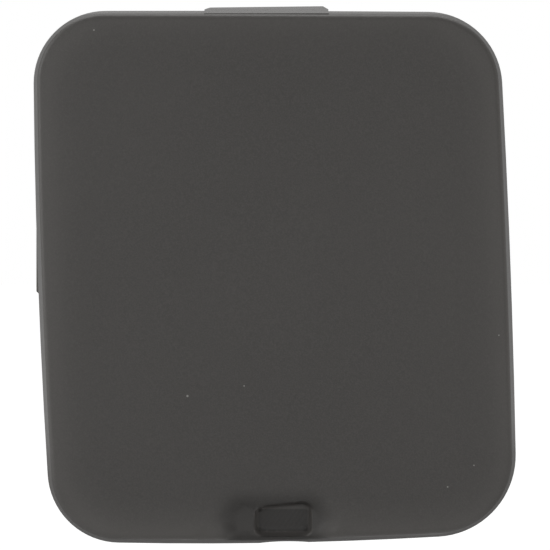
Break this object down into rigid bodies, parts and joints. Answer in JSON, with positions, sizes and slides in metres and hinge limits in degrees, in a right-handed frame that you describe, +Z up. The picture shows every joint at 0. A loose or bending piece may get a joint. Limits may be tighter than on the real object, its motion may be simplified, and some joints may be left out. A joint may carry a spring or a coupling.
{
  "type": "tow eye cover",
  "caption": "Push-in cover for a towing-eye opening: a gently crowned rounded plate with a rear skirt, a top tongue, side snap clips and a finger scoop at its lower edge.",
  "frame": {"origin": "middle of the cover in the plane of its rear rim, which seats on the ledge of the panel's opening", "axes": "the outer face looks towards -Y, +Z is up and +X is to the right as the cover is seen from the front; the clips and the tongue point towards +Y"},
  "size_m": [0.0721, 0.0193, 0.0806],
  "materials": {
    "moulded_plastic": "bare dark warm-grey moulded plastic with a fine even grain"
  },
  "bodies": {
    "root": {"tow_eye_cover": "moulded_plastic"}
  },
  "joints": []
}
